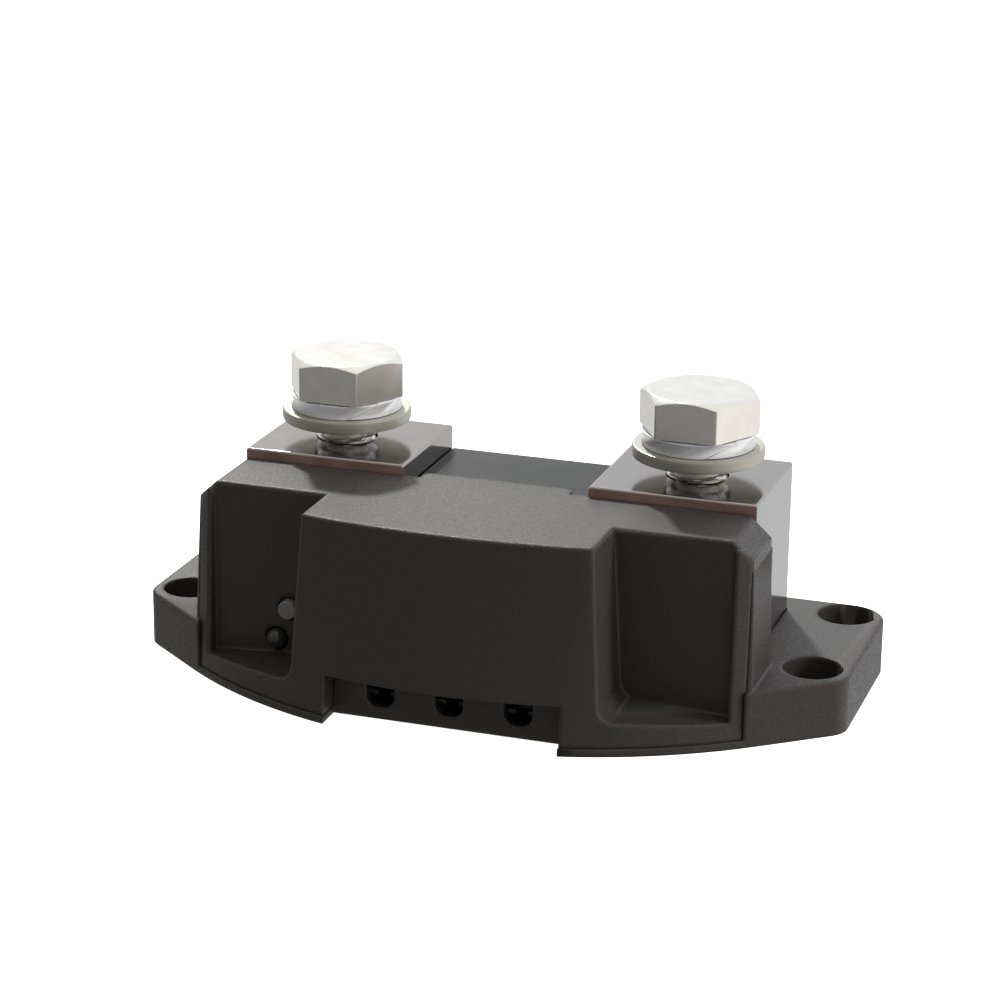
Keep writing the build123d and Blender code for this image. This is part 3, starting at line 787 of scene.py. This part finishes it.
# ---------------------------------------------------------------------------------------------
# Cable sockets. Three black nylon sockets on the level board, one behind each slot, with a
# square mouth, a keyway in the floor and two tinned contact pins each.
# ---------------------------------------------------------------------------------------------
SOCKET_PITCH = 11.2 * MM
SOCKET_BLACK = (0.014, 0.014, 0.015)
SOCKET_SIDE_WALL = 0.8 * MM
SOCKET_FLOOR_WALL = 0.9 * MM
SOCKET_REAR_WALL = 1.4 * MM
PIN_HALF = 0.29 * MM
PIN_TAPER = 0.6 * MM
PIN_PITCH = 2 * MM
PIN_TIN = (0.78, 0.74, 0.62)


def socket_mesh(name, width, depth, height):
    """Thick-walled box with a square mouth at the front and a keyway in its floor."""
    body = add_piece(name, block_mesh(name, (-width / 2, 0, 0), (width / 2, depth, height)))
    mouth_half = width / 2 - SOCKET_SIDE_WALL
    mouth_low = (-mouth_half, -1 * MM, SOCKET_FLOOR_WALL)
    mouth_high = (mouth_half, depth - SOCKET_REAR_WALL, height - SOCKET_FLOOR_WALL)
    mouth_mesh = block_mesh(name + "_mouth", mouth_low, mouth_high)
    key_mesh = block_mesh(name + "_key", (-1 * MM, -1 * MM, -1 * MM), (1 * MM, 2.4 * MM, 1.2 * MM))
    for number, cutter_mesh in enumerate((mouth_mesh, key_mesh)):
        cutter = add_piece(name + "_cutter%d" % number, cutter_mesh)
        cut = body.modifiers.new("cut%d" % number, "BOOLEAN")
        cut.operation = "DIFFERENCE"
        cut.object = cutter
    rounding = body.modifiers.new("rounding", "BEVEL")
    rounding.width = 0.2 * MM
    rounding.segments = 2
    rounding.limit_method = "ANGLE"
    mesh = plain_mesh(body)
    for number in range(2):
        bpy.data.objects.remove(bpy.data.objects[name + "_cutter%d" % number])
    bpy.data.objects.remove(body)
    return mesh


low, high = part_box("cable_sockets")
width = high.x - low.x - 2 * SOCKET_PITCH
socket = socket_mesh("cable_socket", width, high.y - low.y, high.z - low.z)
first = (low.x + width / 2, low.y, low.z)
socket_nylon = smooth_plastic("black_socket_nylon", SOCKET_BLACK, 0.4)
piece = stand_in_rows(
    "cable_socket_row", socket, socket_nylon, first, count=3, step=(SOCKET_PITCH, 0, 0)
)
finish_group(piece, "cable_sockets")

low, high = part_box("socket_pins")
pin_length = high.y - low.y
pin = block_mesh("contact_pin", (-PIN_HALF, 0, -PIN_HALF), (PIN_HALF, pin_length, PIN_HALF))
shape = bmesh.new()
shape.from_mesh(pin)
tip = [vertex for vertex in shape.verts if vertex.co.y < 0.5 * pin_length]
whole_pin = shape.verts[:] + shape.edges[:] + shape.faces[:]
bmesh.ops.bisect_plane(shape, geom=whole_pin, plane_co=(0, PIN_TAPER, 0), plane_no=(0, 1, 0))
for vertex in tip:
    vertex.co.x *= 0.4
    vertex.co.z *= 0.4
shape.to_mesh(pin)
shape.free()
tinned_pin = bright_plating("tinned_pin", PIN_TIN, 0.25)
first = (low.x + 0.3 * MM, low.y, (low.z + high.z) / 2)
piece = stand_in_rows(
    "contact_pins", pin, tinned_pin, first,
    count=2, step=(PIN_PITCH, 0, 0), rows=3, row_step=(SOCKET_PITCH, 0, 0),
)
finish_group(piece, "socket_pins")

# ---------------------------------------------------------------------------------------------
# Resistor strips. Four bare manganin strips soldered into the slots of both blocks; the current
# passes through them. The alloy is coppery grey with rolling lines and cloudy heat tints.
# ---------------------------------------------------------------------------------------------
MANGANIN = (0.50, 0.36, 0.26)
MANGANIN_DARK = (0.42, 0.28, 0.20)
MANGANIN_PALE = (0.58, 0.44, 0.33)

manganin = new_finish("rolled_manganin", MANGANIN, 0.35, metallic=1.0)
rolling = noise_on(manganin, 0.4 * MM, detail=3.0, stretch=(0.05, 1, 1))
tint = noise_on(manganin, 6 * MM, detail=3.0)
wire(manganin, blend_colour(manganin, tint, MANGANIN_DARK, MANGANIN_PALE), "Base Color")
wire(manganin, between(manganin, rolling, 0.3, 0.7, 0.28, 0.45), "Roughness")
wire(manganin, bump_with(manganin, rolling, 0.008 * MM, 0.4), "Normal")
for number in range(1, 5):
    node = "resistor_strip_%d" % number
    strip = edge_rounded(node, "manganin_strip_%d" % number, 0.15 * MM)
    strip.data.materials.append(manganin)
    finish_group(strip, node)

# ---------------------------------------------------------------------------------------------
# Electronics. A green glass-epoxy main board stands on brass spacers in front of the blocks and
# a level board carries the sockets; chips, capacitors, switch and pin header are soldered on.
# ---------------------------------------------------------------------------------------------
BOARD_GREEN = (0.02, 0.11, 0.05)
TRACK_GREEN = (0.035, 0.17, 0.075)
TRACK_SIZE = 9 * MM


def board_finish():
    """Green solder mask with tracks showing through as slightly paler, raised lines."""
    material = new_finish("green_solder_mask", BOARD_GREEN, 0.35)
    nodes, links = material.node_tree.nodes, material.node_tree.links
    place = nodes.new("ShaderNodeTexCoord")
    tracks = nodes.new("ShaderNodeTexBrick")
    tracks.inputs["Scale"].default_value = 1 / TRACK_SIZE
    tracks.inputs["Mortar Size"].default_value = 0.04
    links.new(place.outputs["Object"], tracks.inputs["Vector"])
    clouds = noise_on(material, 4 * MM, detail=3.0)
    tone = blend_colour(material, tracks.outputs["Fac"], BOARD_GREEN, TRACK_GREEN)
    wire(material, tone, "Base Color")
    wire(material, between(material, clouds, 0.3, 0.7, 0.28, 0.42), "Roughness")
    wire(material, bump_with(material, tracks.outputs["Fac"], 0.03 * MM, 0.5), "Normal")
    return material


green_board = board_finish()
header_tin = bright_plating("tinned_header", (0.55, 0.5, 0.38), 0.32)
chip_epoxy = smooth_plastic("black_chip_epoxy", (0.018, 0.018, 0.019), 0.45)
switch_nylon = smooth_plastic("black_switch_nylon", (0.022, 0.022, 0.023), 0.42)
capacitor_can = bright_plating("capacitor_can", (0.5, 0.5, 0.53), 0.3)
lead_tin = bright_plating("tinned_lead", (0.72, 0.72, 0.72), 0.28)
turned_brass = bright_plating("turned_brass", SCREW_BRASS, 0.28)
screw_brass = bright_plating("brass_screw", SCREW_BRASS, 0.3)
inner_parts = (
    ("main_board", green_board, "circuit_board"),
    ("connector_board", green_board, "circuit_board"),
    ("board_header", header_tin, "header"),
    ("board_chips", chip_epoxy, "chip_epoxy"),
    ("tact_switch", switch_nylon, "switch_body"),
    ("board_capacitors", capacitor_can, "capacitor_case"),
    ("led_leads", lead_tin, "lead_wire"),
    ("sense_spacers", turned_brass, "spacer_brass"),
    ("sense_screws", screw_brass, "sense_screw"),
)
for node, finish, slot in inner_parts:
    part = edge_rounded(node, node + "_finished", 0.1 * MM)
    part.data.materials.append(finish)
    finish_group(part, node)

# ---------------------------------------------------------------------------------------------
# Studio. A glowing white floor, a sky that is bright behind and fades towards the front, a white
# key light from behind on the left, a warm low light from the right, and the camera.
# ---------------------------------------------------------------------------------------------
FLOOR_HALF = 6.0
FLOOR_COLOUR = (0.90, 0.90, 0.90)
FLOOR_DARK = (0.89, 0.89, 0.89)
FLOOR_PALE = (0.91, 0.91, 0.91)
FLOOR_GLOW = 0.95
KEY_DIRECTION = Vector((-0.37, 0.67, 0.64))
KEY_POWER = 1.45
KEY_ANGLE = math.radians(4)
KEY_COLOUR = (1.0, 1.0, 0.985)
SIDE_DIRECTION = Vector((0.87, 0.15, 0.46))
SIDE_POWER = 2.7
SIDE_ANGLE = math.radians(12)
SIDE_COLOUR = (1.0, 0.93, 0.82)
SKY_AXIS = Vector((0.45, 0.85, 0.30)).normalized()
SKY_STRENGTH = 1.1
SKY_STOPS = (
    (0.0, (0.20, 0.198, 0.19)), (0.12, (0.215, 0.21, 0.20)), (0.31, (0.44, 0.425, 0.40)),
    (0.61, (0.70, 0.69, 0.66)), (0.78, (0.90, 0.865, 0.79)), (0.87, (0.76, 0.78, 0.80)),
)
CAMERA_PLACE = Vector((0.140364, -0.420038, 0.178095))
CAMERA_BACK = Vector((0.299032, -0.899947, 0.317293)).normalized()
CAMERA_ROLL = 0.0107
CAMERA_LENS = 106.62
CAMERA_SENSOR = 36.0

shape = bmesh.new()
bmesh.ops.create_grid(shape, x_segments=1, y_segments=1, size=FLOOR_HALF)
mesh = bpy.data.meshes.new("floor")
shape.to_mesh(mesh)
shape.free()
floor = add_piece("floor", mesh)
floor_paint = new_finish("pale_floor", FLOOR_COLOUR, 0.8)
floor_clouds = noise_on(floor_paint, 0.4, detail=2.0)
wire(floor_paint, blend_colour(floor_paint, floor_clouds, FLOOR_DARK, FLOOR_PALE), "Base Color")
floor_shader = floor_paint.node_tree.nodes["Principled BSDF"]
floor_shader.inputs["Emission Color"].default_value = (1, 1, 1, 1)
floor_shader.inputs["Emission Strength"].default_value = FLOOR_GLOW
floor.data.materials.append(floor_paint)
floor.visible_glossy = False
floor.visible_diffuse = False

world = bpy.data.worlds.new("studio")
bpy.context.scene.world = world
world.use_nodes = True
sky_nodes, sky_links = world.node_tree.nodes, world.node_tree.links
sky_place = sky_nodes.new("ShaderNodeTexCoord")
sky_side = sky_nodes.new("ShaderNodeVectorMath")
sky_side.operation = "DOT_PRODUCT"
sky_side.inputs[1].default_value = SKY_AXIS
sky_ramp = sky_nodes.new("ShaderNodeValToRGB")
sky_scale = sky_nodes.new("ShaderNodeMapRange")
sky_scale.inputs["From Min"].default_value = -1.0
sky_scale.inputs["From Max"].default_value = 1.0
while len(sky_ramp.color_ramp.elements) < len(SKY_STOPS):
    sky_ramp.color_ramp.elements.new(0.5)
for stop, (place, colour) in zip(sky_ramp.color_ramp.elements, SKY_STOPS):
    stop.position = place
    stop.color = (*colour, 1)
sky_links.new(sky_place.outputs["Generated"], sky_side.inputs[0])
sky_links.new(sky_side.outputs["Value"], sky_scale.inputs["Value"])
sky_links.new(sky_scale.outputs["Result"], sky_ramp.inputs["Fac"])
sky_links.new(sky_ramp.outputs["Color"], sky_nodes["Background"].inputs["Color"])
sky_nodes["Background"].inputs["Strength"].default_value = SKY_STRENGTH

key = bpy.data.lights.new("key_light", "SUN")
key.energy = KEY_POWER
key.angle = KEY_ANGLE
key.color = KEY_COLOUR
key_object = bpy.data.objects.new("key_light", key)
key_object.rotation_euler = KEY_DIRECTION.to_track_quat("Z", "Y").to_euler()
bpy.context.scene.collection.objects.link(key_object)

side_light = bpy.data.lights.new("side_light", "SUN")
side_light.energy = SIDE_POWER
side_light.angle = SIDE_ANGLE
side_light.color = SIDE_COLOUR
side_object = bpy.data.objects.new("side_light", side_light)
side_object.rotation_euler = SIDE_DIRECTION.to_track_quat("Z", "Y").to_euler()
side_object.visible_glossy = False  # its glints on the bolts would throw a patch on the cover
bpy.context.scene.collection.objects.link(side_object)

camera = bpy.data.cameras.new("camera")
camera.lens = CAMERA_LENS
camera.sensor_width = CAMERA_SENSOR
camera.clip_start = 0.01
camera_object = bpy.data.objects.new("camera", camera)
camera_object.location = CAMERA_PLACE
camera_object.rotation_mode = "QUATERNION"
level = CAMERA_BACK.to_track_quat("Z", "Y")
camera_object.rotation_quaternion = level @ Quaternion((0, 0, 1), CAMERA_ROLL)
bpy.context.scene.collection.objects.link(camera_object)
bpy.context.scene.camera = camera_object
bpy.context.scene.view_settings.view_transform = "Standard"
